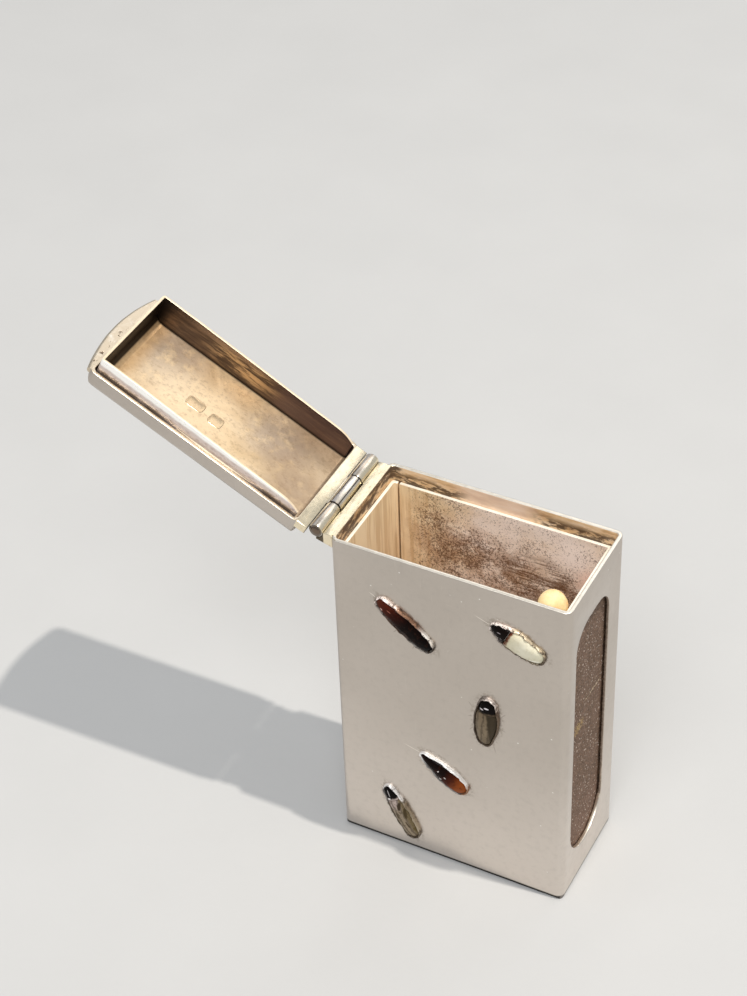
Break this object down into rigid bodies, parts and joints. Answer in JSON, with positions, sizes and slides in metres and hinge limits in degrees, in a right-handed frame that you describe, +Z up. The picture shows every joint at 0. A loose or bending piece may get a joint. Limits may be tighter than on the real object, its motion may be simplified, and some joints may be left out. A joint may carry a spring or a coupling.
{
  "type": "vesta case",
  "caption": "Slim upright silver match case with a hinged lid standing open, a sleeve inside, a striker strip behind an end window and domed stones set on its front.",
  "frame": {"origin": "centre of the base plate's underside", "axes": "+Z up, front face with the stones looks along -Y, hinge on the -X end, striker window in the +X end"},
  "size_m": [0.0654, 0.0171, 0.0667],
  "materials": {
    "silver": "polished sheet silver with fine wear",
    "warm_silver": "satin silver with a warm tone",
    "gilt": "worn gilding with brown stains",
    "abrasive": "dark gritty abrasive paper",
    "pin_metal": "drawn wire",
    "dark_stone": "polished, red-brown to black",
    "banded_stone": "polished, striped grey-brown",
    "cream_shell": "polished cream shell",
    "match_wax": "waxed stem",
    "match_tip": "matt, pale peach"
  },
  "bodies": {
    "case": {"body_shell": "silver", "base_plate": "silver", "inner_liner": "gilt", "striker_strip": "abrasive", "hinge_bearer": "warm_silver", "front_knuckle": "silver", "rear_knuckle": "silver", "hinge_pin": "pin_metal", "collet_upper_left": "silver", "collet_upper_right": "silver", "collet_middle": "silver", "collet_lower": "silver", "collet_foot": "silver", "stone_upper_left": "dark_stone", "stone_upper_right_head": "dark_stone", "stone_upper_right_body": "cream_shell", "stone_middle_head": "dark_stone", "stone_middle_body": "banded_stone", "stone_lower": "dark_stone", "stone_foot_head": "dark_stone", "stone_foot_body": "banded_stone", "match_stem": "match_wax", "match_head": "match_tip"},
    "lid": {"lid_shell": "silver", "lid_flange": "gilt", "lid_hinge_bar": "warm_silver", "lid_knuckle": "silver", "thumb_lip": "silver"}
  },
  "joints": [
    {"name": "lid_hinge", "type": "hinge", "parent": "case", "child": "lid", "pos_m": [-0.0179, 0, 0.05], "axis": [0, -1, 0], "range_deg": [-153.1, 70]}
  ]
}
